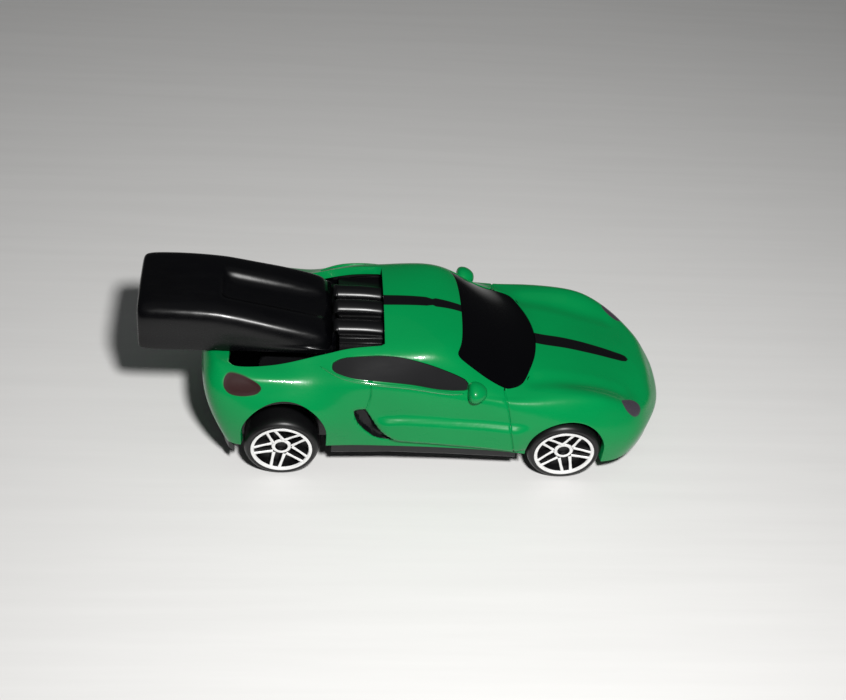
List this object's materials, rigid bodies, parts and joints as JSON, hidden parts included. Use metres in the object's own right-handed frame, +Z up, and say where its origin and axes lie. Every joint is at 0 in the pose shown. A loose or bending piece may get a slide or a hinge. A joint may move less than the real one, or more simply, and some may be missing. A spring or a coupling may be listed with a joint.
{
  "type": "pull back toy car",
  "caption": "Small pull-back toy coupe with a moulded body, spring motor on the rear axle and a broad hinged lever at the back.",
  "frame": {"origin": "on the ground under the middle of the overall length and width", "axes": "+X forward to the nose, +Y to the car's left, +Z up"},
  "size_m": [0.079, 0.0304, 0.0253],
  "materials": {
    "body_shell": "glossy moulded green",
    "window_insert": "glossy smoke black",
    "chassis_base": "satin black",
    "deck_panel": "semi-gloss black",
    "lever": "glossy black",
    "lever_pin": "drawn steel",
    "front_axle": "drawn steel",
    "rear_axle": "drawn steel",
    "wheel_front_left": "black with a silver printed face",
    "wheel_front_right": "black with a silver printed face",
    "wheel_rear_left": "black with a silver printed face",
    "wheel_rear_right": "black with a silver printed face",
    "motor_case_left": "satin grey",
    "motor_case_right": "satin grey",
    "axle_pinion": "natural acetal",
    "compound_gear": "natural acetal",
    "barrel_gear": "natural acetal",
    "compound_arbor": "drawn steel",
    "barrel_arbor": "drawn steel",
    "mainspring": "blued strip",
    "body_screw_front": "plated",
    "body_screw_rear_left": "plated",
    "body_screw_rear_right": "plated",
    "motor_screw_left": "plated",
    "motor_screw_right": "plated"
  },
  "bodies": {
    "car": {"body_shell": "body_shell", "window_insert": "window_insert", "chassis_base": "chassis_base", "deck_panel": "deck_panel", "lever_pin": "lever_pin", "motor_case_left": "motor_case_left", "motor_case_right": "motor_case_right", "mainspring": "mainspring", "body_screw_front": "body_screw_front", "body_screw_rear_left": "body_screw_rear_left", "body_screw_rear_right": "body_screw_rear_right", "motor_screw_left": "motor_screw_left", "motor_screw_right": "motor_screw_right"},
    "rear_wheels": {"rear_axle": "rear_axle", "wheel_rear_left": "wheel_rear_left", "wheel_rear_right": "wheel_rear_right", "axle_pinion": "axle_pinion"},
    "front_wheels": {"front_axle": "front_axle", "wheel_front_left": "wheel_front_left", "wheel_front_right": "wheel_front_right"},
    "compound": {"compound_gear": "compound_gear", "compound_arbor": "compound_arbor"},
    "barrel": {"barrel_gear": "barrel_gear", "barrel_arbor": "barrel_arbor"},
    "lever": {"lever": "lever"}
  },
  "joints": [
    {"name": "rear_axle_spin", "type": "hinge", "parent": "car", "child": "rear_wheels", "pos_m": [-0.0191, 0, 0.0056], "axis": [0, 1, 0], "continuous": true},
    {"name": "front_axle_spin", "type": "hinge", "parent": "car", "child": "front_wheels", "pos_m": [0.0233, 0, 0.0056], "axis": [0, 1, 0], "continuous": true},
    {"name": "compound_spin", "type": "hinge", "parent": "car", "child": "compound", "pos_m": [-0.0132, 0, 0.00898], "axis": [0, 1, 0], "continuous": true},
    {"name": "barrel_spin", "type": "hinge", "parent": "car", "child": "barrel", "pos_m": [-0.006, 0, 0.00898], "axis": [0, 1, 0], "continuous": true},
    {"name": "lever_hinge", "type": "hinge", "parent": "car", "child": "lever", "pos_m": [-0.0145, 0, 0.0179], "axis": [0, 1, 0], "range_deg": [0, 35]}
  ],
  "couplings": [
    {"joint": "compound_spin", "follows": "rear_axle_spin", "ratio": -0.41667},
    {"joint": "barrel_spin", "follows": "rear_axle_spin", "ratio": 0.16026}
  ]
}
